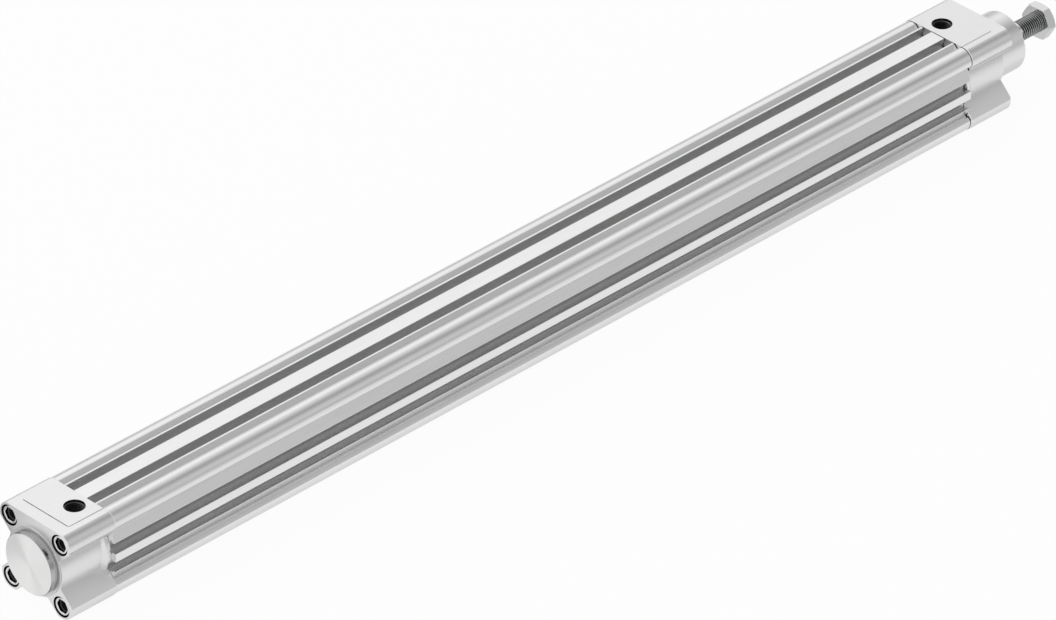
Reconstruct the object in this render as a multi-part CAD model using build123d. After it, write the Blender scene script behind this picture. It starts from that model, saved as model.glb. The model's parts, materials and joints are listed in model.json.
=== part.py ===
from build123d import *
from math import cos, radians, tan
import os

# Double-acting pneumatic cylinder with an extruded profile barrel, rod drawn in.
# Millimetres. The origin is the centre of the rear cap's mounting face, +X runs along
# the axis towards the rod end, and +Z points out of the side that has the ports.

# Driving sizes: stroke, bore, wall between the bore and a cap's flat side, cap length
stroke = 500.0
bore_r = 16.0
cap_wall = 6.5
cap_l = 27.0
boss_r = 6.25
end_gap = 0.2
fit_gap = 0.05

# How far a cut reaches past the faces it opens
over = 1.0

# Barrel section
cap_overhang = 0.3
wall_min = 1.4
slot_mouth = 5.2
slot_inner = 6.8
slot_lip = 2.1
top_slot_y = 6.75
side_slot_z = 4.8
side_slot_drop = 0.9
top_lip_w = 1.1
top_valley = 2.1
side_lip_w = 0.3
side_valley = 3.0
side_valley_w = 1.55
side_valley_drop = 2.4
side_lip_inset = 0.6
side_lip_round = 0.3

# Caps
waist_wall = 1.5
waist_edge = 2.35
flare_step = 1.8
flare_l = 1.8
flare_slope = 2.6
pad_step = 0.25
pad_margin = 7.4
pad_rear_x = 6.6
pad_corner_r = 1.2
joint_chamfer = 0.25
face_chamfer = 0.3
pilot_l = 6.0
pilot_gap = 0.1
port_x = 19.0
port_y = 5.2
port_r = 4.86
port_thread_l = 8.5
port_drill_r = 3.4
port_countersink = 0.4
chamber_gap = 1.1
chamber_floor = 9.5

# Centring collars
collar_step = 1.0
rear_collar_l = 4.0
front_collar_l = 18.0
collar_chamfer = 0.3
front_collar_round = 1.2
front_collar_cove = 1.0
undercut_d = 0.6
undercut_l = 0.9
land_w = 1.5
land_h = 0.5

# Cap screws with a threaded head for the mountings
screw_head_r = 4.5
screw_head_l = 19.4
screw_head_gap = 0.6
screw_recess = 0.1
screw_shank_r = 2.5
screw_shank_gap = 0.3
screw_hold_l = 22.0
mount_thread_r = 3.0
mount_thread_l = 16.0

# Seals in the caps; a groove is wider than its ring by groove_ratio
o_ring_r = 0.9
o_ring_groove_x = 1.3
groove_ratio = 1.15
cushion_seal_l = 3.2
cushion_seal_t = 2.5
seal_mouth_step = 0.4
seal_mouth_l = 1.2
seal_lip_gap = 0.06
seal_lip_nose = 0.6
seal_lip_l = 0.8
seal_lip_relief = 1.0

# Rod, bearing and wiper
rod_r = 6.0
rod_stand_out = 8.0
rod_shoulder = 1.0
rod_thread_l = 22.0
rod_chamfer = 1.0
rod_flat_l = 7.0
stud_shoulder = 2.0
stud_in_spigot = 15.0
bush_wall = 2.4
bush_l = 15.0
bush_lip_l = 1.0
bush_lip_gap = 0.4
rod_gap = 0.06
wiper_t = 3.6
wiper_seat_l = 9.0
wiper_l = 8.7
wiper_groove = 1.2
wiper_lip_t = 1.1
wiper_nose = 0.5
wiper_lip_l = 1.5
wiper_relief = 0.8

# Piston
piston_l = 27.6
piston_gap = 0.3
bumper_proud = 2.0
bumper_seat = 0.8
bumper_in_gap = 1.0
bumper_margin = 2.5
piston_seal_w = 4.0
piston_seal_inset = 2.0
piston_seal_depth = 3.6
piston_lip_l = 1.0
piston_lip_t = 0.9
piston_lip_slope = 0.6
seal_cup_d = 0.7
seal_cup_w = 1.5
band_w = 7.0
band_t = 1.5
band_gap = 0.04
magnet_depth = 3.1
magnet_t = 4.0
magnet_w = 4.6
hub_ring_r = 0.8

# Cushioning spigots on both sides of the piston
cushion_wall = 2.5
cushion_l = 21.0
cushion_nose = 1.2
cushion_groove_l = 15.0
cushion_groove_w = 1.2
cushion_groove_d = 0.9
cushion_grooves = 4
spigot_flat_d = 1.5
spigot_flat_l = 3.0
clip_proud = 1.4
clip_w = 1.0
clip_groove_d = 0.7
clip_opening = 4.0

# Lock nut on the rod thread
nut_flats = 16.0
nut_t = 5.0
nut_chamfer_angle = 30.0
nut_free_thread = 3.0
nut_gap = 0.05

# Derived lengths along the axis
barrel_l = stroke + piston_l + 2 * pilot_l + 2 * end_gap
barrel_end = cap_l + barrel_l
front_face = barrel_end + cap_l
collar_end = front_face + front_collar_l
pilot_end = cap_l + pilot_l
piston_rear = pilot_end + end_gap
piston_front = piston_rear + piston_l
body_rear = piston_rear + bumper_proud
body_front = piston_front - bumper_proud
piston_mid = (piston_rear + piston_front) / 2
rod_end = collar_end + rod_stand_out
thread_end = rod_end + rod_thread_l
spigot_rear = body_rear - cushion_l
sleeve_front = body_front + cushion_l
stud_end = body_rear - stud_in_spigot

# Derived sizes across the axis
cap_half = bore_r + cap_wall
half_pitch = cap_half - boss_r
barrel_half = cap_half - cap_overhang
waist_r = bore_r + waist_wall
flare_r = waist_r + flare_step
collar_r = bore_r - collar_step
land_r = collar_r + land_w
pilot_r = bore_r - pilot_gap
piston_r = bore_r - piston_gap
cushion_r = rod_r + cushion_wall
chamber_r = cushion_r + chamber_gap
seal_mouth_r = chamber_r + seal_mouth_step
cushion_seal_r = cushion_r + cushion_seal_t
wiper_r = rod_r + wiper_t
stud_r = rod_r - stud_shoulder
rod_thread_r = rod_r - rod_shoulder
corners = [(y, z) for y in (-half_pitch, half_pitch) for z in (-half_pitch, half_pitch)]


def turned(*points):
    """Solid of revolution about the cylinder's axis, from (x, radius) points."""
    return revolve(Plane.XZ * make_face(Polyline(*points, close=True)), Axis.X)


def ring(x0, x1, r_in, r_out):
    return turned((x0, r_in), (x1, r_in), (x1, r_out), (x0, r_out))


def disc(x0, x1, r):
    return turned((x0, 0), (x1, 0), (x1, r), (x0, r))


def o_ring(x, r, section_r):
    """Round seal of the given section, centred at x on the radius r."""
    return revolve(Plane.XZ * Pos(x, r) * Circle(section_r), Axis.X)


def across(section, x0, length):
    """Extrude a section drawn in (y, z) along the axis."""
    return extrude(Plane.YZ.offset(x0) * section, amount=length)


def polygon(*points):
    return make_face(Polyline(*points, close=True))


def both_sides(section):
    return section + mirror(section, about=Plane.YZ)


def four_corners(section):
    """The section and its copies mirrored left to right and top to bottom."""
    pair = both_sides(section)
    return pair + mirror(pair, about=Plane.XZ)


def turned_round(part):
    """The same piece for the front end: half a turn about the cylinder's middle."""
    return Pos(front_face, 0, 0) * Rot(0, 0, 180) * part


def t_slot():
    """Sensor slot that opens upwards in the barrel's side and goes down to the bore's wall."""
    floor = bore_r + wall_min
    lip = barrel_half - slot_lip
    top = barrel_half + over
    hollow = Pos(0, (floor + lip) / 2) * Rectangle(slot_inner, lip - floor)
    return hollow + Pos(0, (floor + top) / 2) * Rectangle(slot_mouth, top - floor)


def barrel_section():
    """Extruded section: four screw bosses, V grooves beside them, sensor slots on three sides."""
    valley_y = top_slot_y + slot_mouth / 2 + top_lip_w + top_valley
    side_lip_z = side_slot_z + slot_mouth / 2 + side_lip_w
    side_valley_z = half_pitch - side_valley_drop
    lip_side = barrel_half - side_lip_inset
    valley_side = barrel_half - side_valley
    section = Rectangle(2 * valley_y, 2 * barrel_half) + Rectangle(2 * half_pitch, 2 * half_pitch)
    for y, z in corners:
        section += Pos(y, z) * Circle(barrel_half - half_pitch)
    # V grooves between the bosses and the top, and wider ones with a flat floor on the sides
    v_groove = polygon(
        (valley_y, barrel_half - top_valley),
        (valley_y + 2 * top_valley, barrel_half + top_valley),
        (valley_y - 2 * top_valley, barrel_half + top_valley))
    side_groove = polygon(
        (valley_side, 0), (valley_side, side_valley_z), (valley_side + side_valley_w, side_valley_z),
        (valley_side + side_valley_w + side_valley, side_valley_z + side_valley),
        (valley_side + side_valley_w + side_valley, 0))
    section -= four_corners(v_groove)
    section -= four_corners(side_groove)
    # side walls lean out from the groove to the slots' lips; the slots' pair lies below the middle,
    # and the ridge between them is full width
    side_wall = polygon(
        (0, side_valley_z), (valley_side, side_valley_z), (lip_side, side_lip_z - side_slot_drop),
        (lip_side, -side_lip_z - side_slot_drop), (valley_side, -side_valley_z), (0, -side_valley_z))
    lip_corners = side_wall.vertices().group_by(Axis.X)[-1]
    section += both_sides(fillet(lip_corners, side_lip_round))
    section += Pos(0, -side_slot_drop) * Rectangle(2 * barrel_half, 2 * side_slot_z - slot_mouth)
    for y in (-top_slot_y, top_slot_y):
        section -= Pos(y, 0) * t_slot()
    for z in (-side_slot_z, side_slot_z):
        section -= both_sides(Pos(0, z - side_slot_drop) * Rot(0, 0, 90) * t_slot())
    section -= Circle(bore_r)
    for y, z in corners:
        section -= Pos(y, z) * Circle(screw_shank_r + fit_gap)
    return section


def barrel():
    return across(barrel_section(), cap_l, barrel_l)


def cap_outline():
    """Cap section: four screw bosses, a flat top for the port, and a round waist elsewhere."""
    block = fillet(Rectangle(2 * cap_half, 2 * cap_half).vertices(), boss_r)
    apex = boss_r + waist_edge
    far = cap_half + boss_r
    wedge = polygon((apex, 0), (far, far - apex), (far, apex - far)) - Circle(waist_r)
    for turn in (0, 180, -90):
        block -= Rot(0, 0, turn) * wedge
    return block


def cap_body():
    """What both caps share, in the rear cap's place, with its port's axis at -port_y."""
    body = across(cap_outline(), 0, cap_l)
    body = chamfer(body.faces().sort_by(Axis.X)[0].edges(), face_chamfer)
    body = chamfer(body.faces().sort_by(Axis.X)[-1].edges(), joint_chamfer)
    # flare that covers the end of the barrel's inner wall in the waists
    flare_x = cap_l - flare_l
    body += turned(
        (flare_x - flare_slope, 0), (flare_x - flare_slope, waist_r), (flare_x, flare_r),
        (cap_l - joint_chamfer, flare_r), (cap_l, flare_r - joint_chamfer), (cap_l, 0))
    # the machined pad round the port stands above the cast top
    pad_l = cap_l - pad_rear_x + pad_corner_r
    pad = fillet(Rectangle(pad_l, 2 * (cap_half - pad_margin)).vertices(), pad_corner_r)
    border = Pos(cap_l / 2, 0) * Rectangle(cap_l, 2 * cap_half)
    border -= Pos(pad_rear_x + pad_l / 2, 0) * pad
    body -= extrude(Plane.XY.offset(cap_half - pad_step) * border, amount=2 * pad_step)
    body += disc(cap_l - joint_chamfer, pilot_end, pilot_r)
    # chamber that takes the cushioning spigot, and the seal's seat at its mouth
    seat_end = pilot_end - seal_mouth_l
    body -= disc(chamber_floor, pilot_end, chamber_r)
    body -= disc(seat_end - cushion_seal_l - 2 * fit_gap, seat_end, cushion_seal_r + fit_gap)
    body -= disc(seat_end, pilot_end, seal_mouth_r)
    groove_x = cap_l + o_ring_groove_x
    groove_w = 2 * groove_ratio * o_ring_r
    body -= ring(groove_x, groove_x + groove_w, bore_r - 2 * o_ring_r - fit_gap, bore_r + over)
    # port: threaded length, then a drilled way into the chamber
    port = Plane.XY.offset(cap_half) * Pos(port_x, -port_y)
    body -= extrude(port * Circle(port_r), amount=-port_thread_l)
    body -= extrude(port * Circle(port_drill_r), amount=chamber_r / 2 - cap_half)
    countersink = Cone(port_r, port_r + port_countersink, port_countersink)
    body -= Pos(port_x, -port_y, cap_half - port_countersink / 2) * countersink
    for y, z in corners:
        head = Pos(y, z) * Circle(screw_head_r + screw_head_gap)
        shank = Pos(y, z) * Circle(screw_shank_r + screw_shank_gap)
        body -= across(head, 0, screw_recess + screw_head_l)
        body -= across(shank, 0, cap_l)
    return body


def rear_cap():
    """Closed cap with a short turned collar, an undercut at its foot and a narrow land."""
    foot = -land_h - undercut_l
    collar = turned(
        (-rear_collar_l, 0), (-rear_collar_l, collar_r - collar_chamfer),
        (collar_chamfer - rear_collar_l, collar_r), (foot, collar_r), (foot, collar_r - undercut_d),
        (-land_h, collar_r - undercut_d), (-land_h, land_r), (over, land_r), (over, 0))
    return cap_body() + collar


def front_cap():
    """Cap with the long collar that holds the rod's bearing bush and wiper."""
    nose = disc(front_face - over, collar_end, collar_r)
    nose = fillet(nose.edges().sort_by(Axis.X)[-1], front_collar_round)
    # cove at the collar's foot
    square = Pos(front_face, collar_r) * Rectangle(front_collar_cove, front_collar_cove, align=Align.MIN)
    square -= Pos(front_face + front_collar_cove, collar_r + front_collar_cove) * Circle(front_collar_cove)
    cap = turned_round(cap_body()) + nose + revolve(Plane.XZ * square, Axis.X)
    bush_x = front_face - chamber_floor + bush_lip_l
    cap -= disc(barrel_end, collar_end, rod_r + bush_lip_gap)
    cap -= disc(bush_x, collar_end, rod_r + bush_wall + fit_gap)
    cap -= disc(collar_end - wiper_seat_l, collar_end, wiper_r + fit_gap)
    return cap


def cap_screws():
    """Four screws: a long head with a thread for the mountings, and a shank into the barrel."""
    head_end = screw_recess + screw_head_l
    shank_end = cap_l + screw_hold_l
    hole_end = screw_recess + mount_thread_l
    one = turned(
        (screw_recess, mount_thread_r), (screw_recess, screw_head_r), (head_end, screw_head_r),
        (head_end, screw_shank_r), (shank_end, screw_shank_r), (shank_end, 0),
        (hole_end, 0), (hole_end, mount_thread_r))
    return [Pos(0, y, z) * one for y, z in corners]


def cap_o_ring():
    x = cap_l + o_ring_groove_x + groove_ratio * o_ring_r
    return o_ring(x, bore_r - fit_gap - o_ring_r, o_ring_r)


def cushion_seal():
    """Ring whose lip closes on the cushioning spigot just before the end of the stroke."""
    x1 = pilot_end - seal_mouth_l - fit_gap
    x0 = x1 - cushion_seal_l
    lip = cushion_r + seal_lip_gap
    return turned(
        (x0, lip + seal_lip_relief), (x0, cushion_seal_r), (x1, cushion_seal_r),
        (x1, lip + seal_lip_nose), (x1 - seal_lip_nose, lip),
        (x1 - seal_lip_nose - seal_lip_l, lip))


def bearing_bush():
    x0 = front_face - chamber_floor + bush_lip_l + fit_gap
    return ring(x0, x0 + bush_l, rod_r + rod_gap, rod_r + bush_wall)


def rod_wiper():
    """Rod seal and wiper in one ring: an inner sealing lip, and a groove behind the outer lip."""
    x0 = collar_end - wiper_seat_l + fit_gap
    x1 = x0 + wiper_l
    lip = rod_r + rod_gap
    groove_r = (lip + wiper_r) / 2
    lip_end = x1 - wiper_nose - wiper_lip_l
    return turned(
        (x0, lip + wiper_relief), (x0, wiper_r), (x1, wiper_r), (x1, groove_r),
        (x1 - wiper_groove, groove_r), (x1 - wiper_groove, lip + wiper_lip_t),
        (x1, lip + wiper_nose), (x1 - wiper_nose, lip), (lip_end, lip),
        (lip_end - wiper_relief, lip + wiper_relief))


def piston_rod():
    """Rod with a stud for the piston, a clip groove, wrench flats and the rod-end thread."""
    rod = turned(
        (stud_end, 0), (stud_end, stud_r), (body_front, stud_r), (body_front, rod_r),
        (rod_end, rod_r), (rod_end, rod_thread_r), (thread_end - rod_chamfer, rod_thread_r),
        (thread_end, rod_thread_r - rod_chamfer), (thread_end, 0))
    rod -= ring(sleeve_front, sleeve_front + clip_w + fit_gap, rod_r - clip_groove_d, rod_r + over)
    for side in (-1, 1):
        flat = Box(rod_flat_l, 2 * rod_thread_r, 2 * rod_r)
        rod -= Pos(rod_end - rod_flat_l / 2, side * 2 * rod_thread_r, 0) * flat
    return rod


def piston_half():
    """Rear half of the piston: seal groove, half of the band's and magnet's seats, bumper seat."""
    seal_x = body_rear + piston_seal_inset
    magnet_out = piston_r - magnet_depth
    body = ring(body_rear, piston_mid, stud_r + fit_gap, piston_r)
    body -= ring(seal_x, seal_x + piston_seal_w + 2 * fit_gap, bore_r - piston_seal_depth, bore_r)
    body -= ring(piston_mid - band_w / 2 - fit_gap, piston_mid, bore_r - band_t - fit_gap, bore_r)
    body -= ring(
        piston_mid - magnet_w / 2 - fit_gap, piston_mid,
        magnet_out - magnet_t - fit_gap, magnet_out + fit_gap)
    body -= ring(
        body_rear, body_rear + bumper_seat,
        cushion_r + bumper_in_gap - fit_gap, piston_r - bumper_margin + fit_gap)
    return body


def swapped(part):
    """The same piece on the other side of the piston's middle plane."""
    return mirror(part, about=Plane.YZ.offset(piston_mid))


def front_piston_half():
    """The other half, with a seat for the small seal round the rod's stud."""
    seat = 2 * groove_ratio * hub_ring_r
    return swapped(piston_half()) - ring(piston_mid, piston_mid + seat, stud_r, stud_r + seat)


def hub_o_ring():
    centre = groove_ratio * hub_ring_r
    return o_ring(piston_mid + centre, stud_r + centre, hub_ring_r)


def bumper():
    return ring(
        piston_rear, body_rear + bumper_seat, cushion_r + bumper_in_gap, piston_r - bumper_margin)


def piston_seal():
    """Lip seal in the rear half's groove, with its lip against the bore."""
    x0 = body_rear + piston_seal_inset + fit_gap
    floor = bore_r - piston_seal_depth + fit_gap
    lip = bore_r - band_gap
    back = lip - piston_lip_t
    return turned(
        (x0, floor), (x0 + piston_seal_w, floor), (x0 + piston_seal_w, back),
        (x0 + piston_lip_l + piston_lip_slope, back), (x0 + piston_lip_l, lip), (x0, lip),
        (x0, back), (x0 + seal_cup_d, back - seal_cup_w / 2), (x0, back - seal_cup_w))


def guide_band():
    return ring(piston_mid - band_w / 2, piston_mid + band_w / 2, bore_r - band_t, bore_r - band_gap)


def magnet():
    magnet_out = piston_r - magnet_depth
    return ring(piston_mid - magnet_w / 2, piston_mid + magnet_w / 2, magnet_out - magnet_t, magnet_out)


def cushion_body(x0):
    """Spigot that closes on the cushion seal: a nose chamfer at x0 and grooves from the nose."""
    body = turned(
        (x0, 0), (x0, cushion_r - cushion_nose), (x0 + cushion_nose, cushion_r),
        (x0 + cushion_l, cushion_r), (x0 + cushion_l, 0))
    groove = Box(cushion_groove_l, cushion_groove_w, 2 * cushion_groove_d)
    groove = Pos(x0 + cushion_groove_l / 2, 0, cushion_r) * groove
    for k in range(cushion_grooves):
        body -= Rot(360 / cushion_grooves * (k + 0.5), 0, 0) * groove
    return body


def rear_spigot():
    """Spigot that is also the nut on the rod's stud, with two flats for a wrench."""
    body = cushion_body(spigot_rear) - disc(stud_end - over, body_rear, stud_r + fit_gap)
    for side in (-1, 1):
        flat = Box(spigot_flat_l, cushion_r, 2 * cushion_r)
        flat_y = side * (1.5 * cushion_r - spigot_flat_d)
        body -= Pos(spigot_rear + spigot_flat_l / 2, flat_y, 0) * flat
    return body


def front_sleeve():
    return swapped(cushion_body(spigot_rear)) - disc(body_front, sleeve_front, rod_r + fit_gap)


def sleeve_clip():
    """Open spring ring in the rod's groove, in front of the cushioning sleeve."""
    x0 = sleeve_front + fit_gap / 2
    clip_r = rod_r + clip_proud
    clip = ring(x0, x0 + clip_w, rod_r - clip_groove_d + fit_gap, clip_r)
    return clip - Pos(x0 + clip_w / 2, 0, -clip_r) * Box(2 * clip_w, clip_opening, 1.5 * clip_r)


def lock_nut():
    """Thin hexagon nut with a corner chamfer on both faces, near the end of the thread."""
    x1 = thread_end - nut_free_thread
    x0 = x1 - nut_t
    flats_r = nut_flats / 2
    corner_r = flats_r / cos(radians(30))
    rise = (corner_r - flats_r) * tan(radians(nut_chamfer_angle))
    hexagon = RegularPolygon(flats_r, 6, major_radius=False)
    body = across(hexagon, x0, nut_t)
    body &= turned(
        (x0, 0), (x0, flats_r), (x0 + rise, corner_r), (x1 - rise, corner_r), (x1, flats_r), (x1, 0))
    return body - disc(x0, x1, rod_thread_r + nut_gap)


pieces = {
    "barrel": barrel(),
    "rear_cap": rear_cap(),
    "front_cap": front_cap(),
    "rear_cap_screws": Compound(children=cap_screws()),
    "front_cap_screws": Compound(children=[turned_round(s) for s in cap_screws()]),
    "rear_cap_o_ring": cap_o_ring(),
    "front_cap_o_ring": turned_round(cap_o_ring()),
    "rear_cushion_seal": cushion_seal(),
    "front_cushion_seal": turned_round(cushion_seal()),
    "rod_bearing_bush": bearing_bush(),
    "rod_wiper_seal": rod_wiper(),
    "piston_rod": piston_rod(),
    "rear_piston_half": piston_half(),
    "front_piston_half": front_piston_half(),
    "piston_hub_o_ring": hub_o_ring(),
    "rear_bumper_ring": bumper(),
    "front_bumper_ring": swapped(bumper()),
    "piston_magnet": magnet(),
    "rear_cushion_spigot": rear_spigot(),
    "front_cushion_sleeve": front_sleeve(),
    "cushion_sleeve_clip": sleeve_clip(),
    "rear_piston_seal": piston_seal(),
    "front_piston_seal": swapped(piston_seal()),
    "piston_guide_band": guide_band(),
    "lock_nut": lock_nut(),
}

os.makedirs("parts", exist_ok=True)
for name, piece in pieces.items():
    export_step(piece, f"parts/{name}.step")
    print(f"{name}: {len(piece.solids())} solid(s), {piece.volume:.0f} mm3")
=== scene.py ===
# %% [markdown]
# # A pneumatic cylinder with a profile barrel
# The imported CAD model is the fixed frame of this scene. Every visible piece here is a mesh
# in metres in that frame, and rides on one of its four bodies: the housing, the piston's
# seals, the rod with the piston, and the lock nut. We dress the frame piece by piece, then
# light it softly on a pale floor.

# %% Load the frame
import bmesh
import bpy
import json
from math import atan2, cos, hypot, pi, radians, sin
from mathutils import Matrix, Vector


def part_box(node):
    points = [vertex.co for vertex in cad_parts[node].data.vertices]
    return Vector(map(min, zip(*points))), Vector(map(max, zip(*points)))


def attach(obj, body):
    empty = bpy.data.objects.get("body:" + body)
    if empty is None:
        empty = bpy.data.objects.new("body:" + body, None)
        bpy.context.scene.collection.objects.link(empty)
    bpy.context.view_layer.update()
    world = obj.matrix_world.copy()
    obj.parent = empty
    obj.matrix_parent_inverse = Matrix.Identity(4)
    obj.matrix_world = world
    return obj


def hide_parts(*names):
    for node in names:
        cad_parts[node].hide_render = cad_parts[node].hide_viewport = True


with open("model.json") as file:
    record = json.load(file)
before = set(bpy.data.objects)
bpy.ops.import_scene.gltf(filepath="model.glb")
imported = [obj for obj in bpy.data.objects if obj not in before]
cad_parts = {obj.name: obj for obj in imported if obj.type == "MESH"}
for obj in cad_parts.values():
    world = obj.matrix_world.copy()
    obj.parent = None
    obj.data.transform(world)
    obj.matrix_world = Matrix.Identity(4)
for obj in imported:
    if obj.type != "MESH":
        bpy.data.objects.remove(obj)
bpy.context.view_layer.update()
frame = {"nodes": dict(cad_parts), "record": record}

# %% [markdown]
# ## Sizes
# The boxes of the CAD nodes give the places: where each cap begins and ends, how far the
# barrel reaches, where the rod's thread ends. We could measure them in the photograph, but
# then the pieces would not sit on the frame. The few sizes that a box can't tell are written
# where they are first needed, in metres, as on the real product.

# %% Sizes from the frame
MM = 0.001
SCREW_INSET = 6.25 * MM
barrel_start, barrel_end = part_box("barrel")[0].x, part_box("barrel")[1].x
cap_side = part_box("rear_cap")[1].y
front_face = barrel_end + barrel_start
thread_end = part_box("piston_rod")[1].x
screw_place = cap_side - SCREW_INSET
screw_corners = [(y, z) for y in (-screw_place, screw_place) for z in (-screw_place, screw_place)]
print(f"between the caps' faces: {front_face / MM:.1f} mm")

# %% [markdown]
# ## Camera
# The photograph is taken from far away with a long lens, from above the rear left corner.
# Such a lens keeps the long cylinder nearly as wide at its far end as at its near one. Place,
# turn and lens were fitted to the caps, the collars and the ports. We set the camera's matrix
# from its three axes, so that the fitted view goes in without Euler angles.

# %% Camera
IMAGE_W = 1056
SENSOR = 36.0
FOCAL_PIXELS = 9886.02
CLIP_END = 100.0
camera_place = Vector((-2.30914, -2.66759, 2.45491))
azimuth, elevation, roll = radians(45.6424), radians(33.4276), radians(-0.0561)

camera_data = bpy.data.cameras.new("camera")
camera_data.sensor_width = SENSOR
camera_data.lens = FOCAL_PIXELS / IMAGE_W * SENSOR
camera_data.clip_end = CLIP_END
camera = bpy.data.objects.new("camera", camera_data)
bpy.context.scene.collection.objects.link(camera)
forward = Vector((cos(elevation) * cos(azimuth), cos(elevation) * sin(azimuth), -sin(elevation)))
right = forward.cross(Vector((0, 0, 1))).normalized()
up = right.cross(forward)
right, up = cos(roll) * right + sin(roll) * up, cos(roll) * up - sin(roll) * right
turn = Matrix((right, up, -forward)).transposed().to_4x4()
camera.matrix_world = Matrix.Translation(camera_place) @ turn
bpy.context.scene.camera = camera
print(f"lens {camera_data.lens:.1f} mm")

# %% [markdown]
# ## Copies of CAD shapes
# A CAD node comes as loose triangles. To reuse its exact shape we join a copy of them,
# dissolve the flat parts into whole faces, and round the sharp edges with a small bevel, so
# that every edge catches the light as a real one does. Modelling the shape again would only
# bring in errors.

# %% Copy a CAD shape and round its edges
JOIN = 0.0005 * MM
FLAT = radians(0.3)


def cad_copy(node):
    """A bmesh of a CAD node's shape, with its triangles joined into whole faces."""
    bm = bmesh.new()
    bm.from_mesh(frame["nodes"][node].data)
    bmesh.ops.remove_doubles(bm, verts=bm.verts, dist=JOIN)
    bmesh.ops.dissolve_limit(bm, angle_limit=FLAT, verts=bm.verts, edges=bm.edges)
    return bm


def round_edges(bm, width, least_angle=50, where=None):
    """Bevel the edges that turn by more than least_angle degrees, and count them."""
    sharp = [e for e in bm.edges if len(e.link_faces) == 2
             and abs(e.calc_face_angle()) > radians(least_angle)
             and (where is None or where(e))]
    bmesh.ops.bevel(bm, geom=sharp, offset=width, offset_type="OFFSET", segments=2,
                    profile=0.5, affect="EDGES", clamp_overlap=True, material=-1)
    return len(sharp)


# %% [markdown]
# ## Finished pieces
# Every piece is finished in the same way, so one helper does it. The shading is smooth, but
# sharp where two faces meet at a clear angle, and a modifier weighs the normals by the size
# of the faces, so that large flat faces stay flat beside their rounded edges. Then the piece
# rides on its body.

# %% Make a piece and dress it
SMOOTH = radians(32)
FACE_WEIGHT = 80


def as_piece(bm, name, body):
    """Turn a bmesh into a piece that rides on a body."""
    bmesh.ops.recalc_face_normals(bm, faces=bm.faces)
    mesh = bpy.data.meshes.new(name)
    bm.to_mesh(mesh)
    bm.free()
    for polygon in mesh.polygons:
        polygon.use_smooth = True
    mesh.set_sharp_from_angle(angle=SMOOTH)
    piece = bpy.data.objects.new(name, mesh)
    weighted = piece.modifiers.new("flat_faces_stay_flat", "WEIGHTED_NORMAL")
    weighted.keep_sharp = True
    weighted.weight = FACE_WEIGHT
    bpy.context.scene.collection.objects.link(piece)
    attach(piece, body)
    print(f"{name}: {len(mesh.polygons)} faces")
    return piece


def dress(piece, *materials):
    """Give a piece its materials. Clearing an empty list would reset its faces' numbers."""
    if piece.data.materials:
        piece.data.materials.clear()
    for material in materials:
        piece.data.materials.append(material)


# %% [markdown]
# ## Noise in a material
# No metal is the same all over. We take noise on Object coordinates, so that the pattern
# stays with the piece when its body moves. A mapping stretches it: equal grains look cast or
# blasted, long ones look drawn. Two more helpers turn the noise's value into a number within
# given limits, or into a colour between two others.

# %% Noise and mixing
NOISE_ROUGHNESS = 0.6


def object_noise(nodes, links, grain, detail=4.0):
    """Noise with a number of grains in a metre along X, Y and Z."""
    place = nodes.new("ShaderNodeTexCoord")
    mapping = nodes.new("ShaderNodeMapping")
    mapping.inputs["Scale"].default_value = grain
    noise = nodes.new("ShaderNodeTexNoise")
    noise.inputs["Scale"].default_value = 1.0
    noise.inputs["Detail"].default_value = detail
    noise.inputs["Roughness"].default_value = NOISE_ROUGHNESS
    links.new(place.outputs["Object"], mapping.inputs["Vector"])
    links.new(mapping.outputs["Vector"], noise.inputs["Vector"])
    return noise.outputs["Fac"]


def spread(nodes, links, value, low, high, start=0.3, end=0.7):
    """Map a value's range from start to end onto the range from low to high."""
    node = nodes.new("ShaderNodeMapRange")
    node.inputs["From Min"].default_value = start
    node.inputs["From Max"].default_value = end
    node.inputs["To Min"].default_value = low
    node.inputs["To Max"].default_value = high
    links.new(value, node.inputs["Value"])
    return node.outputs["Result"]


def fill(links, socket, value):
    """Link a socket to another node's output, or set its number or colour."""
    if isinstance(value, bpy.types.NodeSocket):
        links.new(value, socket)
    else:
        socket.default_value = value


def mix_colours(nodes, links, factor, first, second, blend="MIX"):
    """Mix two colours; each of them, and the factor, may be a value or an output."""
    node = nodes.new("ShaderNodeMix")
    node.data_type = "RGBA"
    node.blend_type = blend
    fill(links, node.inputs["Factor"], factor)
    fill(links, node.inputs[6], first)
    fill(links, node.inputs[7], second)
    return node.outputs[2]


# %% [markdown]
# ## Metal
# All the metals here share a recipe. A principled shader is fully metallic. Its colour
# drifts a little over the surface, its roughness varies in fine grain or in long streaks,
# and the same grain lifts the surface by a few thousandths of a millimetre. Flat values would
# be quicker, but metal without grain looks like grey plastic.

# %% Metal
IOR = 1.5
PATCHES = (30, 60, 60)


def even(count):
    """The same number of grains in a metre along X, Y and Z."""
    return (count, count, count)


def new_material(name, metallic):
    """A material with only its principled shader: itself, its nodes, its links, the shader."""
    material = bpy.data.materials.new(name)
    material.use_nodes = True
    nodes, links = material.node_tree.nodes, material.node_tree.links
    shader = nodes["Principled BSDF"]
    shader.inputs["Metallic"].default_value = metallic
    shader.inputs["IOR"].default_value = IOR
    return material, nodes, links, shader


def raise_grain(nodes, links, shader, value, height):
    """Bump from a value, height in metres."""
    bump = nodes.new("ShaderNodeBump")
    bump.inputs["Strength"].default_value = 1.0
    bump.inputs["Distance"].default_value = height
    links.new(value, bump.inputs["Height"])
    links.new(bump.outputs["Normal"], shader.inputs["Normal"])


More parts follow.
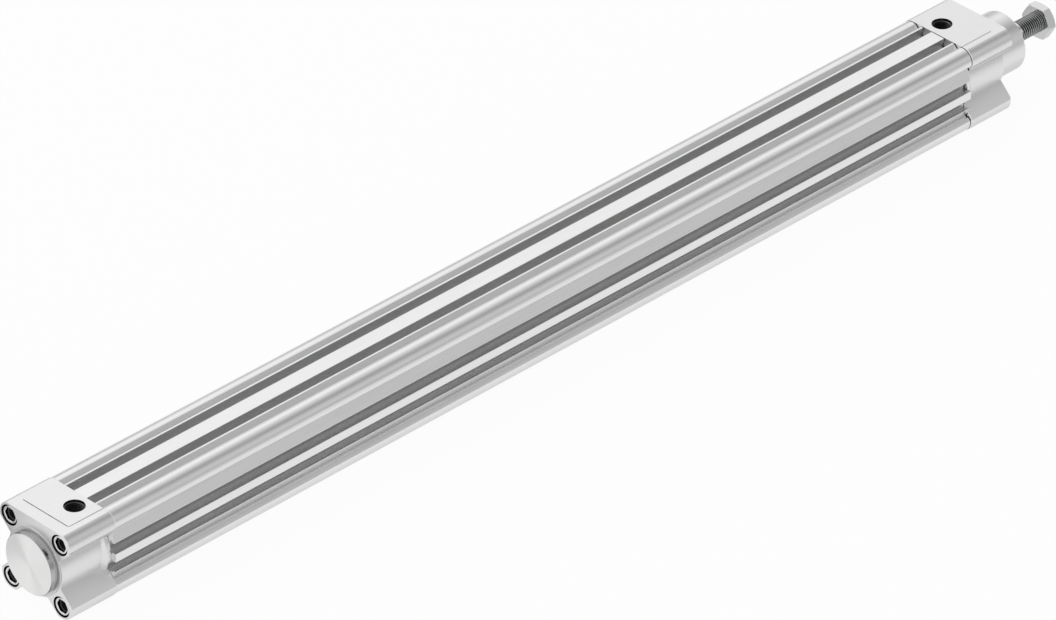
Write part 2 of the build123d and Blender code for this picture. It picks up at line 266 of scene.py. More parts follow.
def metal(name, colour, roughness, grain, drift=0.03, rough_spread=0.06, height=0.004 * MM):
    """A metal with the given number of grains in a metre, and slow patches of colour."""
    material, nodes, links, shader = new_material(name, 1.0)
    slow = object_noise(nodes, links, PATCHES, detail=2.0)
    fine = object_noise(nodes, links, grain)
    dark = tuple(c * (1 - drift) for c in colour)
    light = tuple(min(1.0, c * (1 + drift)) for c in colour)
    base = mix_colours(nodes, links, slow, (*dark, 1), (*light, 1))
    links.new(base, shader.inputs["Base Color"])
    rough = spread(nodes, links, fine, roughness - rough_spread, roughness + rough_spread)
    links.new(rough, shader.inputs["Roughness"])
    raise_grain(nodes, links, shader, fine, height)
    return material


# %% [markdown]
# ## Metals of the housing
# The barrel is an aluminium extrusion with a satin anodised skin: the die leaves faint lines
# along its length. The caps are castings, blasted and anodised, with machined faces. The
# screws are zinc plated steel. The skin inside the slots is painted darker, as painted shade,
# and the bores and other deep corners are painted nearly black, as painted shade. Pictures of
# real metals could be used too, but the recipe above needs no files and fits every piece
# without a seam.

# %% Metals of the housing
DIE_LINES = (12, 1500, 1500)
SLOT_LINES = (12, 900, 900)
BLASTED = even(1500)
PLATED = even(900)
profile_metal = metal("anodised_profile", (0.835, 0.84, 0.835), 0.30, DIE_LINES, height=0.001 * MM)
cap_metal = metal("blasted_cap", (0.80, 0.805, 0.80), 0.33, BLASTED, height=0.002 * MM)
# Painted shade: a darker copy of the skin for the slots' insides, the caps' groove and the pad's sides.
half_shade_metal = metal("painted_half_shade", (0.67, 0.675, 0.67), 0.38, SLOT_LINES,
                   rough_spread=0.04, height=0.0005 * MM)
# Painted shade: nearly black for the bores, the ports' walls, the pad's step and the barrel's end in
# the front gap.
painted_shade_metal = metal("painted_shade_black", (0.05, 0.05, 0.05), 0.45, PLATED, drift=0.15)
zinc_metal = metal("zinc_plating", (0.76, 0.77, 0.77), 0.22, PLATED, height=0.002 * MM)
print("housing metals:", profile_metal.name, cap_metal.name, zinc_metal.name)

# %% [markdown]
# ## Turned faces
# A face that was cut on a lathe has fine rings round its axis. They spread the light across
# the rings, so bright and dark fans meet at the centre. A picture of such a face would do,
# but only from one side. An anisotropic shader whose tangent points away from the axis gives
# the fans from every side, and a ring wave in the bump adds the tool marks.

# %% Turned faces
ONE_RING = 0.314
WAVE_DISTORTION = 0.4
WAVE_DETAIL_SCALE = 2.0
RING_ROUGHNESS = 0.03
RING_HEIGHT = 0.001 * MM
TURNED_DRIFT = 0.97
TURNED_PATCHES = (40, 120, 120)
SIDE_RINGS = (3000, 120, 120)


def away_from_axis(nodes, links, place):
    """The direction from the X axis to a place, in the world, for a shader's tangent."""
    outwards = nodes.new("ShaderNodeVectorMath")
    outwards.operation = "MULTIPLY"
    outwards.inputs[1].default_value = (0, 1, 1)
    links.new(place, outwards.inputs[0])
    unit = nodes.new("ShaderNodeVectorMath")
    unit.operation = "NORMALIZE"
    links.new(outwards.outputs["Vector"], unit.inputs[0])
    to_world = nodes.new("ShaderNodeVectorTransform")
    to_world.vector_type = "VECTOR"
    to_world.convert_from, to_world.convert_to = "OBJECT", "WORLD"
    links.new(unit.outputs["Vector"], to_world.inputs["Vector"])
    return to_world.outputs["Vector"]


def turned_metal(name, colour, roughness, ring_pitch, anisotropy):
    """Metal with tool rings round the X axis. A wave of scale 1 has a ring each ONE_RING metres."""
    material, nodes, links, shader = new_material(name, 1.0)
    shader.inputs["Anisotropic"].default_value = anisotropy
    place = nodes.new("ShaderNodeTexCoord").outputs["Object"]
    links.new(away_from_axis(nodes, links, place), shader.inputs["Tangent"])
    wave = nodes.new("ShaderNodeTexWave")
    wave.wave_type = "RINGS"
    wave.rings_direction = "X"
    wave.inputs["Scale"].default_value = ONE_RING / ring_pitch
    wave.inputs["Distortion"].default_value = WAVE_DISTORTION
    wave.inputs["Detail Scale"].default_value = WAVE_DETAIL_SCALE
    links.new(place, wave.inputs["Vector"])
    slow = object_noise(nodes, links, TURNED_PATCHES, detail=3.0)
    dark = tuple(c * TURNED_DRIFT for c in colour)
    base = mix_colours(nodes, links, slow, (*dark, 1), (*colour, 1))
    links.new(base, shader.inputs["Base Color"])
    low, high = roughness - RING_ROUGHNESS, roughness + RING_ROUGHNESS
    rough = spread(nodes, links, wave.outputs["Fac"], low, high, 0, 1)
    links.new(rough, shader.inputs["Roughness"])
    raise_grain(nodes, links, shader, wave.outputs["Fac"], RING_HEIGHT)
    return material


turned_face = turned_metal("turned_face", (0.94, 0.94, 0.935), 0.38, 0.25 * MM, 1.0)
# The collar's turned side is painted much darker than its face, as painted shade.
turned_side_painted_shade = metal("turned_side_painted_shade", (0.47, 0.47, 0.47), 0.2, SIDE_RINGS, height=0.001 * MM)
print("turned metals:", turned_face.name, turned_side_painted_shade.name)

# %% [markdown]
# ## Barrel
# The barrel is one long extrusion with slots for sensors. We could draw its section again and
# extrude it, but the CAD shape has it exactly. What that leaves out is the small radius that
# the die gives each edge, so we bevel the long edges of a joined copy. Its front end stops
# about half a millimetre short, and the shadow in that gap draws the joint to the cap. At the
# rear end the four bosses have a small chamfer, a bright line beside the cap: we cut the mesh
# half a millimetre from its end and draw the bosses' outline in. Each face gets a number: 0 for
# the skin, 1 for the inside of a slot, which is painted darker as painted shade, and 2 for the
# end in the gap, which is painted nearly black as painted shade.

# %% Barrel
EXTRUSION_ROUND = 0.2 * MM
EXTRUSION_ANGLE = 25
FRONT_GAP = 0.45 * MM
END_CHAMFER = 0.5 * MM
BOSS_R, BOSS_SLACK = 5.95 * MM, 0.1 * MM
SLOT_FLOOR, SLOT_MOUTH = 17.3 * MM, 21.3 * MM
TOP_SLOTS = (3.3 * MM, 10.2 * MM)
SIDE_SLOTS = ((0.45 * MM, 7.35 * MM), (-9.15 * MM, -2.25 * MM))
STRAIGHT = 0.999
SQUARE = 0.9
# Numbers of the painted shade: darker in the slots, nearly black on the end in the gap.
SLOT_SHADE_FACE, GAP_SHADE_FACE = 1, 2


def runs_along(edge):
    """Whether an edge lies along the cylinder's axis."""
    a, b = (v.co for v in edge.verts)
    return abs((a - b).normalized().x) > STRAIGHT


def in_slot(place):
    """Whether a place lies inside one of the sensor slots."""
    from_top = SLOT_FLOOR < place.z < SLOT_MOUTH and TOP_SLOTS[0] < abs(place.y) < TOP_SLOTS[1]
    sideways = SLOT_FLOOR < abs(place.y) < SLOT_MOUTH
    return from_top or sideways and any(low < place.z < high for low, high in SIDE_SLOTS)


def chamfer_boss(v):
    """Draw a point of a boss's outline in towards the middle of its screw."""
    for y, z in screw_corners:
        away = hypot(v.co.y - y, v.co.z - z)
        if abs(away - BOSS_R) < BOSS_SLACK:
            v.co.y += (y - v.co.y) * END_CHAMFER / away
            v.co.z += (z - v.co.z) * END_CHAMFER / away


bm = cad_copy("barrel")
bmesh.ops.bisect_plane(bm, geom=[*bm.verts, *bm.edges, *bm.faces], dist=JOIN,
                       plane_co=(barrel_start + END_CHAMFER, 0, 0), plane_no=(1, 0, 0))
for v in bm.verts:
    if v.co.x > barrel_end - JOIN:
        v.co.x -= FRONT_GAP
    elif v.co.x < barrel_start + JOIN:
        chamfer_boss(v)
print("long edges rounded:", round_edges(bm, EXTRUSION_ROUND, EXTRUSION_ANGLE, runs_along))
bm.normal_update()
# The gap's end face and the slots' insides get painted shade.
for face in bm.faces:
    if face.normal.x > SQUARE:
        face.material_index = GAP_SHADE_FACE
    elif in_slot(face.calc_center_median()):
        face.material_index = SLOT_SHADE_FACE
barrel = as_piece(bm, "profile_barrel", "housing")
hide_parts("barrel")
dress(barrel, profile_metal, half_shade_metal, painted_shade_metal)

# %% [markdown]
# ## End caps
# The caps close the barrel and carry the ports. They too keep the CAD shape, with rounded
# edges. They are castings, but some of their faces are machined and look different: the
# collar's end face and side are turned, and the side is painted darker, as painted shade. The
# walls of the bores and ports are painted nearly black, as painted shade. The pad round the
# port stands above the cast top by a small step; its walls are painted dark, as painted shade,
# so that the step reads as a thin line, and the groove at the collar's foot is painted darker,
# as painted shade. Each finish could have a mesh of its own. One mesh is simpler to fit, so we
# number its faces by their place.

# %% End caps
CAP_ROUND = 0.12 * MM
COLLAR_REACH, GROOVE_X, LAND_X = 17.0 * MM, -1.35 * MM, -1.0 * MM
PAST_FACE = 0.02 * MM
BORE_REACH = 5.12 * MM
PORT_X, PORT_Y, PORT_ROOT = 19.0 * MM, 5.2 * MM, 4.86 * MM
PORT_SLACK = 0.05 * MM
PORT_MOUTH, PORT_REACH = 4.96 * MM, 5.5 * MM
PAD_STEP = 0.25 * MM
PAD_REACH = 17.0 * MM
WALL, NEARLY_LEVEL = 0.5, 0.99
# Faces 3 and 4 are painted shade, nearly black and darker; face 2 is the turned side, painted darker as
# shade.
END_FACE, COLLAR_SIDE, SHADE_PAINTED_FACE, SHADED_FACE = 1, 2, 3, 4


def tighten_mouth(bm, port):
    """Draw the port's mouth in, to little more than the thread's root."""
    for v in bm.verts:
        x, y = v.co.x - port[0], v.co.y - port[1]
        away = hypot(x, y)
        if v.co.z > cap_side - PAD_STEP and away < PORT_REACH:
            v.co.x = port[0] + x * PORT_MOUTH / away
            v.co.y = port[1] + y * PORT_MOUTH / away


def mark_faces(bm, outside, port):
    """Number a cap's faces: the turned collar, and painted shade in bores, ports, groove and pad's
    step.
    """
    for face in bm.faces:
        centre = face.calc_center_median()
        if outside(centre.x) and hypot(centre.y, centre.z) < COLLAR_REACH:
            if abs(face.normal.x) > SQUARE and not LAND_X < centre.x < 0:
                face.material_index = END_FACE
            elif centre.x < 0:
                face.material_index = COLLAR_SIDE if centre.x < GROOVE_X else SHADED_FACE
        # The bores, the port's walls and the pad's step are painted shade.
        in_bore = any(hypot(centre.y - y, centre.z - z) < BORE_REACH for y, z in screw_corners)
        in_port = hypot(centre.x - port[0], centre.y - port[1]) < PORT_ROOT + PORT_SLACK
        if in_bore and abs(face.normal.x) < WALL or in_port and abs(face.normal.z) < WALL:
            face.material_index = SHADE_PAINTED_FACE
        under_pad = cap_side - PAD_STEP < centre.z < cap_side and abs(centre.y) < PAD_REACH
        if under_pad and abs(face.normal.z) < NEARLY_LEVEL and not in_port:
            face.material_index = SHADE_PAINTED_FACE if abs(face.normal.x) > SQUARE else SHADED_FACE


def end_cap(node, name, outside, port):
    """A cap in its node's shape; outside tells which places lie beyond its mounting face."""
    bm = cad_copy(node)
    tighten_mouth(bm, port)
    print("edges rounded:", round_edges(bm, CAP_ROUND))
    bm.normal_update()
    mark_faces(bm, outside, port)
    cap = as_piece(bm, name, "housing")
    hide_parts(node)
    # The cap's last three materials are painted shade.
    dress(cap, cap_metal, turned_face, turned_side_painted_shade, painted_shade_metal, half_shade_metal)


rear_port_place = (PORT_X, -PORT_Y)
front_port_place = (front_face - PORT_X, PORT_Y)
end_cap("rear_cap", "cast_rear_cap", lambda x: x < -PAST_FACE, rear_port_place)
end_cap("front_cap", "cast_front_cap", lambda x: x > front_face + PAST_FACE, front_port_place)

# %% [markdown]
# ## Threads and turned shapes
# A screw is a body of revolution with a ridge wound round it. For the body we spin a line of
# a few points about its axis. For the thread, a bump texture would do from afar, but its
# outline would stay smooth. So we draw the ridge's section once, as a face, and spin it with
# a small step along the axis at each turn step.

# %% Spin a profile, wind a ridge
HALF_ROOT, HALF_CREST = 0.46, 0.09


def turned(bm, profile, steps=96, centre=(0, 0)):
    """Spin (x, radius) points about an axis along X and close the poles."""
    y, z = centre
    verts = [bm.verts.new((x, y, z + r)) for x, r in profile]
    edges = [bm.edges.new(pair) for pair in zip(verts, verts[1:])]
    bmesh.ops.spin(bm, geom=verts + edges, cent=(0, y, z), axis=(1, 0, 0),
                   angle=2 * pi, steps=steps, use_merge=True)
    bmesh.ops.remove_doubles(bm, verts=bm.verts, dist=JOIN)


def wound_ridge(bm, start, turns, pitch, root, crest, centre=(0, 0), steps=40, axis="X"):
    """Wind a thread's ridge, from root radius to crest radius, from start along the axis."""
    half_root, half_crest = HALF_ROOT * pitch, HALF_CREST * pitch
    outline = [(-half_root, root), (-half_crest, crest), (half_crest, crest), (half_root, root)]
    if axis == "X":
        points = [(start + along, centre[0], centre[1] + r) for along, r in outline]
        middle, line = (start, *centre), Vector((1, 0, 0))
    else:
        points = [(centre[0] + r, centre[1], start + along) for along, r in outline]
        middle, line = (*centre, start), Vector((0, 0, 1))
    face = bm.faces.new([bm.verts.new(p) for p in points])
    geometry = [face, *face.edges, *face.verts]
    bmesh.ops.spin(bm, geom=geometry, cent=middle, axis=line, dvec=line * pitch / steps,
                   angle=2 * pi * turns, steps=round(steps * turns), use_duplicate=False)


# %% [markdown]
# ## Cap screws
# Each cap is held by four screws. Their long heads are sunk in the caps, with a socket for
# the key and an M6 thread inside it for the mountings. Cylinders and booleans could make
# them, but a spun profile is cleaner and stays easy to change. The socket's wall is pushed
# out into six lobes, and the thread is a wound ridge. All four are one piece, as they are one
# node of the frame, and the front ones are a copy turned by half a turn.

# %% One cap screw
SCREW_SINK = 0.45 * MM
HEAD_R, HEAD_L = 4.5 * MM, 19.0 * MM
HEAD_CHAMFER = 0.35 * MM
SHANK_R, SHANK_END = 2.5 * MM, 49.0 * MM
SOCKET_R, SOCKET_L = 3.3 * MM, 5.0 * MM
SOCKET_CHAMFER = 0.25 * MM
LOBE, LOBES, LOBE_SLACK = 0.14 * MM, 6, 0.3 * MM
HOLE_L, HOLE_TIP = 16.0 * MM, 1.5 * MM
M6_ROOT, M6_CREST, M6_PITCH = 3.0 * MM, 2.5 * MM, 1.0 * MM
M6_START, M6_OVERLAP = 1.2 * MM, 0.1 * MM
SOCKET_SLACK, SOCKET_DARK, HEAD_DARK = 0.35 * MM, 0.3 * MM, 1.0 * MM
SOCKET_SHADE_FACE = 1


def lobed(angle):
    """Radius of the socket at an angle."""
    return SOCKET_R + LOBE * cos(LOBES * angle)


def push_lobes(bm, centre, x_end):
    """Push the socket's wall out into lobes, up to x_end."""
    for v in bm.verts:
        y, z = v.co.y - centre[0], v.co.z - centre[1]
        radius = hypot(y, z)
        if SCREW_SINK - JOIN < v.co.x < x_end and abs(radius - SOCKET_R) < LOBE_SLACK:
            grow = (lobed(atan2(z, y)) + radius - SOCKET_R) / radius
            v.co.y, v.co.z = centre[0] + y * grow, centre[1] + z * grow


def mark_socket(bm, centre):
    """Number the faces painted dark as shade: the socket's inside, and what the bore hides."""
    for face in bm.faces:
        middle = face.calc_center_median()
        depth = middle.x - SCREW_SINK
        away = hypot(middle.y - centre[0], middle.z - centre[1])
        if away < SOCKET_R + SOCKET_SLACK and depth > SOCKET_DARK or depth > HEAD_DARK:
            face.material_index = SOCKET_SHADE_FACE


def cap_screw(centre):
    """One screw of the rear cap, as a bmesh."""
    bm = bmesh.new()
    face_x = SCREW_SINK
    head_end = face_x + HEAD_L
    socket_end = face_x + SOCKET_L
    hole_end = face_x + HOLE_L
    turned(bm, [
        (face_x + SOCKET_CHAMFER, SOCKET_R), (face_x, SOCKET_R + SOCKET_CHAMFER),
        (face_x, HEAD_R - HEAD_CHAMFER), (face_x + HEAD_CHAMFER, HEAD_R), (head_end, HEAD_R),
        (head_end, SHANK_R), (SHANK_END, SHANK_R), (SHANK_END, 0)], centre=centre)
    turned(bm, [
        (face_x + SOCKET_CHAMFER, SOCKET_R), (socket_end, SOCKET_R),
        (socket_end, M6_ROOT), (hole_end, M6_ROOT), (hole_end + HOLE_TIP, 0)], centre=centre)
    bmesh.ops.recalc_face_normals(bm, faces=bm.faces)
    push_lobes(bm, centre, socket_end + JOIN)
    first = face_x + M6_START
    turns = (hole_end - first) / M6_PITCH - 1
    wound_ridge(bm, first, turns, M6_PITCH, M6_ROOT + M6_OVERLAP, M6_CREST, centre)
    mark_socket(bm, centre)
    return bm


# %% All the cap screws
# Painted shade: nearly black for the socket and for what the bore hides.
socket_shade_metal = metal("painted_shade_socket", (0.045, 0.045, 0.045), 0.35, PLATED, drift=0.15)
bm = bmesh.new()
for centre in screw_corners:
    one = cap_screw(centre)
    mesh = bpy.data.meshes.new("one_screw")
    one.to_mesh(mesh)
    one.free()
    bm.from_mesh(mesh)
    bpy.data.meshes.remove(mesh)
front = bm.copy()
rear_screws = as_piece(bm, "rear_head_screws", "housing")
half_turn = Matrix.Rotation(pi, 3, "Z")
bmesh.ops.rotate(front, verts=front.verts, cent=(front_face / 2, 0, 0), matrix=half_turn)
front_screws = as_piece(front, "front_head_screws", "housing")
for piece, node in ((rear_screws, "rear_cap_screws"), (front_screws, "front_cap_screws")):
    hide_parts(node)
    dress(piece, zinc_metal, socket_shade_metal)

# %% [markdown]
# ## Port threads
# The air ports are tapped G1/8. The caps' bores are already at the thread's full depth, so a
# wound ridge inside each bore is the thread. Cutting it into the cap would give the same
# look with a far heavier mesh. Its colour is painted nearly black, as painted shade, because
# little light gets in.

# %% Port threads
PORT_CREST, PORT_PITCH = 4.30 * MM, 0.907 * MM
PORT_TURNS, PORT_THREAD_L = 7.6, 8.1 * MM
PORT_STEPS = 48


def port_thread(name, place):
    """The thread's ridge in the port at a place in X and Y."""
    bm = bmesh.new()
    wound_ridge(bm, cap_side - PORT_THREAD_L, PORT_TURNS, PORT_PITCH, PORT_ROOT, PORT_CREST,
                place, PORT_STEPS, "Z")
    return as_piece(bm, name, "housing")


# Painted shade: the thread's ridge is nearly black because little light gets in.
port_shade_metal = metal("painted_shade_port_thread", (0.08, 0.08, 0.08), 0.3, PLATED, drift=0.15)
for name, place in (("rear_port_thread", rear_port_place), ("front_port_thread", front_port_place)):
    dress(port_thread(name, place), port_shade_metal)

# %% [markdown]
# ## Piston rod
# The rod is ground and chromed, the smoothest surface of all. Its plain part, with two wrench
# flats, keeps the CAD shape up to the shoulder, where we cut the copy off. From there on it
# is an M10 thread with a fine pitch: a core with a chamfered end, and a wound ridge that is
# pressed towards the axis where the chamfer cuts it. The thread is painted much darker than
# the rod, as painted shade, and its crests lighter, as painted highlight.

# %% Rod's plain part
ROD_ROUND = 0.15 * MM
ROD_THREAD_L = 22.0 * MM
GROUND = (20, 2500, 2500)
shoulder = thread_end - ROD_THREAD_L

bm = cad_copy("piston_rod")
bmesh.ops.bisect_plane(bm, geom=[*bm.verts, *bm.edges, *bm.faces], dist=JOIN,
                       plane_co=(shoulder, 0, 0), plane_no=(1, 0, 0), clear_outer=True)
rim = [e for e in bm.edges if e.is_boundary]
bmesh.ops.holes_fill(bm, edges=rim)
print("rod edges rounded:", round_edges(bm, ROD_ROUND))
rod = as_piece(bm, "chromed_rod", "rod")
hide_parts("piston_rod")
rod_metal = metal("hard_chrome", (0.82, 0.825, 0.83), 0.07, GROUND, height=0.0005 * MM)
dress(rod, rod_metal)

# %% Rod's thread
M10_CREST, M10_ROOT, M10_PITCH = 5.0 * MM, 4.25 * MM, 1.25 * MM
M10_START, M10_SHORT, M10_OVERLAP = 0.9 * MM, 1.7 * MM, 0.05 * MM
M10_STEPS, CORE_STEPS = 56, 80
CORE_SINK = 1.0 * MM
CORE_CHAMFER_L, CORE_CHAMFER_D = 0.8 * MM, 0.6 * MM
ROD_CHAMFER = 1.0 * MM
CREST_REACH = 0.1 * MM
CREST_HIGHLIGHT_FACE = 1
ROLLED = even(1200)


def press_to(bm, limit):
    """Move vertices towards the X axis until none stands out past limit(x)."""
    for v in bm.verts:
        radius, most = hypot(v.co.y, v.co.z), limit(v.co.x)
        if radius > most:
            v.co.y, v.co.z = v.co.y * most / radius, v.co.z * most / radius


bm = bmesh.new()
turned(bm, [
    (shoulder - CORE_SINK, 0), (shoulder - CORE_SINK, M10_ROOT),
    (thread_end - CORE_CHAMFER_L, M10_ROOT),
    (thread_end, M10_ROOT - CORE_CHAMFER_D), (thread_end, 0)], CORE_STEPS)
turns = (ROD_THREAD_L - M10_SHORT) / M10_PITCH
wound_ridge(bm, shoulder + M10_START, turns, M10_PITCH, M10_ROOT - M10_OVERLAP, M10_CREST,
            steps=M10_STEPS)
press_to(bm, lambda x: min(M10_CREST, M10_CREST - ROD_CHAMFER + (thread_end - x)))
# The crests get the painted highlight.
for face in bm.faces:
    middle = face.calc_center_median()
    if hypot(middle.y, middle.z) > M10_CREST - CREST_REACH:
        face.material_index = CREST_HIGHLIGHT_FACE
rod_thread = as_piece(bm, "rod_end_thread", "rod")
# Painted shade on the thread's flanks and painted highlight on its crests.
m10_shade_metal = metal("painted_shade_rolled_thread", (0.20, 0.205, 0.205), 0.25, ROLLED, height=0.002 * MM)
m10_crest_highlight = metal("painted_highlight_crest", (0.62, 0.63, 0.63), 0.2, ROLLED)
dress(rod_thread, m10_shade_metal, m10_crest_highlight)

# %% [markdown]
# ## Lock nut
# A thin hexagon nut, chamfered on both faces. A cylinder with six sides would be a start, but
# its corners would need their curved cuts. The CAD shape has them, so it only gets rounded
# edges and a bright zinc finish.

# %% Lock nut
NUT_ROUND, NUT_ANGLE = 0.2 * MM, 40
bm = cad_copy("lock_nut")
print("nut edges rounded:", round_edges(bm, NUT_ROUND, NUT_ANGLE))
nut = as_piece(bm, "thin_lock_nut", "nut")
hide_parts("lock_nut")
nut_metal = metal("zinc_nut", (0.68, 0.685, 0.68), 0.15, even(500), height=0.003 * MM)
dress(nut, nut_metal)

# %% [markdown]
# ## Inner pieces
# The seals, the bush and the piston are inside, seen only at the rod's end and when the
# cylinder is taken apart. Their CAD shapes stay and get their own finish: moulded rubber and
# polyurethane with a soft sheen, sintered bronze, turned aluminium and plastics. The frame's
# record names the material of each node, so a table of finishes by that name is enough.

# %% Inner pieces
MOULDED_PATCHES = even(60)
MOULDED_DRIFT = 0.85
MOULDED_ROUGHNESS = 0.08


def moulded(name, colour, roughness, grain, height):
    """Rubber or plastic with a fine moulded skin and slow patches of colour."""
    material, nodes, links, shader = new_material(name, 0.0)
    slow = object_noise(nodes, links, MOULDED_PATCHES, detail=2.0)
    fine = object_noise(nodes, links, even(grain))
    dark = tuple(c * MOULDED_DRIFT for c in colour)
    base = mix_colours(nodes, links, slow, (*dark, 1), (*colour, 1))
    links.new(base, shader.inputs["Base Color"])
    low, high = roughness - MOULDED_ROUGHNESS, roughness + MOULDED_ROUGHNESS
    links.new(spread(nodes, links, fine, low, high), shader.inputs["Roughness"])
    raise_grain(nodes, links, shader, fine, height)
    return material


bronze = metal("sintered_bronze", (0.60, 0.43, 0.25), 0.45, even(2600), height=0.006 * MM)
inner_finishes = {
    "seal_rubber": moulded("black_rubber", (0.03, 0.03, 0.03), 0.55, 1400, 0.006 * MM),
    "seal_polyurethane": moulded("blue_polyurethane", (0.07, 0.13, 0.28), 0.35, 900, 0.003 * MM),
    "bearing_bronze": bronze,
    "piston_aluminium": turned_metal("turned_aluminium", (0.76, 0.77, 0.78), 0.28, 0.3 * MM, 0.3),
    "magnet_compound": moulded("bonded_magnet", (0.06, 0.06, 0.065), 0.6, 1800, 0.008 * MM),
    "spring_steel": metal("phosphated_spring", (0.22, 0.22, 0.23), 0.42, even(1600)),
    "band_plastic": moulded("acetal_band", (0.78, 0.75, 0.66), 0.4, 700, 0.002 * MM),
}
for part in frame["record"]["subparts"]:
    if part["material_slot"] in inner_finishes:
        dress(frame["nodes"][part["node"]], inner_finishes[part["material_slot"]])
print("inner finishes:", len(inner_finishes))

# %% [markdown]
# ## Floor
# The cylinder lies on a white floor. A photographer would sweep paper up behind it. The
# camera looks down and sees nothing but floor, so one large face at the height of the caps'
# underside will do. It is a stage, not a piece of the object.

# %% Floor
FLOOR_SIZE = 30.0
floor_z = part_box("rear_cap")[0].z
bm = bmesh.new()
bmesh.ops.create_grid(bm, x_segments=1, y_segments=1, size=FLOOR_SIZE / 2)
bmesh.ops.translate(bm, verts=bm.verts, vec=(0, 0, floor_z))
floor_mesh = bpy.data.meshes.new("floor")
bm.to_mesh(floor_mesh)
bm.free()
floor = bpy.data.objects.new("floor", floor_mesh)
bpy.context.scene.collection.objects.link(floor)
print(f"floor at {floor_z / MM:.1f} mm")

# %% [markdown]
# ## Levels of light
# Bright metal shows its surroundings, so they need more care than a plain grey. Both the
# floor and the studio round it are drawn by levels: so bright at this place, so bright at
# that one, and a soft passage in between. One helper makes such a ramp, and another does the
# sums that find the place.

# %% Sums and levels
def calculate(nodes, links, operation, *values):
    """A Math node on numbers and outputs."""
    node = nodes.new("ShaderNodeMath")
    node.operation = operation
    for socket, value in zip(node.inputs, values):
        fill(links, socket, value)
    return node.outputs[0]


def grey_levels(nodes, links, value, levels, start, end):
    """Grey levels at given places of a value that runs from start to end, eased in between."""
    ramp = nodes.new("ShaderNodeValToRGB")
    ramp.color_ramp.interpolation = "EASE"
    stops = ramp.color_ramp.elements
    while len(stops) < len(levels):
        stops.new(0.5)
    for stop, (place, level) in zip(stops, levels):
        stop.position = (place - start) / (end - start)
        stop.color = (level, level, level, 1)
    links.new(spread(nodes, links, value, 0, 1, start, end), ramp.inputs["Fac"])
    return ramp.outputs["Color"]


# %% [markdown]
# ## What the floor shows
# For diffuse light the floor is plain white paint. For the camera it is mostly a white
# emission, which keeps a faint shadow. For mirrored rays it is a white sheet with soft grey
# strips along the cylinder, as a photographer lays grey card beside a shiny object, and right
# under the cylinder it is a little darker, a painted shadow. The strips could be real cards,
# but the camera would see them. Behind the rear cap the sheet is white, but for one dark
# sector on the far side, which the turned collar mirrors as fans.

# %% What the floor shows
FLOOR_PAINT = (0.93, 0.93, 0.93, 1)
CAMERA_SHARE, MIRROR_SHARE = 0.94, 0.85
MIRROR_REACH = 0.5
REAR_EDGE = 0.02
# Pairs of the place Y in metres and the level there.
# The dip to 0.82 and 0.85 right under the cylinder is a painted shadow for mirrored rays.
CARD_AND_SHADOW_LEVELS = [(-0.35, 0.50), (-0.22, 0.57), (-0.11, 0.92), (-0.032, 1.0), (-0.018, 0.82),
                (0.02, 0.85), (0.045, 0.50), (0.075, 0.50), (0.11, 0.95), (0.25, 1.0), (0.45, 0.60)]
NEAR_LEVELS = [(0.0, 1.0), (0.030, 1.0), (0.044, 0.0), (0.4, 0.0)]
# Pairs of degrees from -X towards +Y and the level there.
SECTOR_LEVELS = [(0, 1.0), (53, 1.0), (60, 0.1), (70, 0.1), (80, 1.0)]


def mirrored_level(nodes, links):
    """The floor's brightness for mirrored rays, by the place on it."""
    axes = nodes.new("ShaderNodeSeparateXYZ")
    links.new(nodes.new("ShaderNodeTexCoord").outputs["Object"], axes.inputs["Vector"])
    x, y = axes.outputs["X"], axes.outputs["Y"]
    strips = grey_levels(nodes, links, y, CARD_AND_SHADOW_LEVELS, -MIRROR_REACH, MIRROR_REACH)
    near = grey_levels(nodes, links, y, NEAR_LEVELS, -MIRROR_REACH, MIRROR_REACH)
    backwards = calculate(nodes, links, "MULTIPLY", x, -1.0)
    round_foot = calculate(nodes, links, "ARCTAN2", y, backwards)
    sector_levels = [(radians(degrees), level) for degrees, level in SECTOR_LEVELS]
    sector = grey_levels(nodes, links, round_foot, sector_levels, 0, pi / 2)
    rear = mix_colours(nodes, links, 1.0, sector, near, "LIGHTEN")
    behind = spread(nodes, links, x, 0, 1, REAR_EDGE, -REAR_EDGE)
    return mix_colours(nodes, links, behind, strips, rear)


material = bpy.data.materials.new("white_floor")
material.use_nodes = True
nodes, links = material.node_tree.nodes, material.node_tree.links
nodes.remove(nodes["Principled BSDF"])
painted = nodes.new("ShaderNodeBsdfDiffuse")
painted.inputs["Color"].default_value = FLOOR_PAINT
white = nodes.new("ShaderNodeEmission")
path = nodes.new("ShaderNodeLightPath")
share = 0.0
for ray, part in (("Is Camera Ray", CAMERA_SHARE), ("Is Glossy Ray", MIRROR_SHARE),
                  ("Is Transmission Ray", MIRROR_SHARE)):
    share = calculate(nodes, links, "MULTIPLY_ADD", path.outputs[ray], part, share)
level = mirrored_level(nodes, links)
strength = calculate(nodes, links, "MAXIMUM", path.outputs["Is Camera Ray"], level)
links.new(strength, white.inputs["Strength"])
mixed = nodes.new("ShaderNodeMixShader")
links.new(share, mixed.inputs["Fac"])
links.new(painted.outputs["BSDF"], mixed.inputs[1])
links.new(white.outputs["Emission"], mixed.inputs[2])
links.new(mixed.outputs["Shader"], nodes["Material Output"].inputs["Surface"])
dress(floor, material)
print("floor nodes:", len(nodes))

# %% [markdown]
# ## The studio round the cylinder
# Rounded bright metal shows what stands round it. Long soft boxes and grey cards lie along
# the cylinder, as a photographer sets them for a long shiny object. They could be meshes that
# shine. In the world they need no geometry: they are bands of brightness by the angle round
# the X axis, 0 straight up and positive towards -Y. A white card stands behind the rear end,
# towards -X, for the faces that look that way.

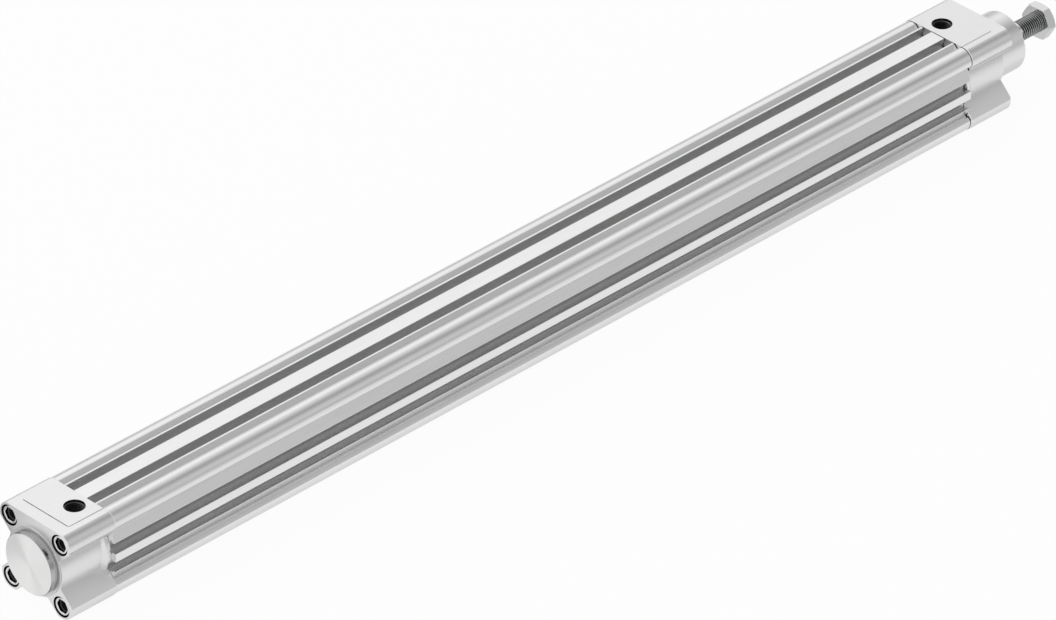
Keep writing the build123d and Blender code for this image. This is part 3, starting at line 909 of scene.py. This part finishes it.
# %% World
# Pairs of degrees round the X axis and the level there.
BANDS = [(-90, 0.60), (-74, 0.52), (-61, 0.82), (-48, 1.06), (-36, 1.06), (-20, 0.86), (-5, 0.71),
         (10, 0.51), (22, 0.35), (32, 0.34), (42, 0.54), (56, 0.65), (68, 0.70), (80, 0.58), (90, 0.42)]
CARD_COLOUR = (1.0, 1.0, 1.0, 1)
CARD_START, CARD_FULL = -0.2, -0.6

world = bpy.data.worlds.new("studio")
world.use_nodes = True
bpy.context.scene.world = world
nodes, links = world.node_tree.nodes, world.node_tree.links
axes = nodes.new("ShaderNodeSeparateXYZ")
links.new(nodes.new("ShaderNodeTexCoord").outputs["Generated"], axes.inputs["Vector"])
round_x = calculate(nodes, links, "ARCTAN2", axes.outputs["Y"], axes.outputs["Z"])
band_levels = [(radians(-degrees), level) for degrees, level in BANDS]
bands = grey_levels(nodes, links, round_x, band_levels, pi / 2, -pi / 2)
towards_rear = spread(nodes, links, axes.outputs["X"], 0, 1, CARD_START, CARD_FULL)
studio = mix_colours(nodes, links, towards_rear, bands, CARD_COLOUR)
links.new(studio, nodes["Background"].inputs["Color"])
print("bands of light:", len(BANDS))

# %% [markdown]
# ## Lamp
# One weak, broad soft box above the far side adds a faint shadow on the floor. It stays weak,
# because the bands do the rest, and a strong lamp would draw a hard streak along the rod and
# the collars.

# %% Lamp
LAMP_PLACE = Vector((0.3, 1.4, 2.2))
LAMP_AIM = Vector((0.3, 0, 0))
LAMP_W, LAMP_H = 1.6, 1.2
LAMP_WATTS = 6.0
lamp_data = bpy.data.lights.new("softbox", "AREA")
lamp_data.shape = "RECTANGLE"
lamp_data.size = LAMP_W
lamp_data.size_y = LAMP_H
lamp_data.energy = LAMP_WATTS
lamp = bpy.data.objects.new("softbox", lamp_data)
bpy.context.scene.collection.objects.link(lamp)
lamp_turn = (LAMP_AIM - LAMP_PLACE).to_track_quat("-Z", "Y").to_matrix().to_4x4()
lamp.matrix_world = Matrix.Translation(LAMP_PLACE) @ lamp_turn
print(f"lamp {(LAMP_AIM - LAMP_PLACE).length:.2f} m away")

# %% [markdown]
# ## Finish
# The Standard view transform keeps colours close to what is written.

# %% Finish
bpy.context.scene.view_settings.view_transform = "Standard"
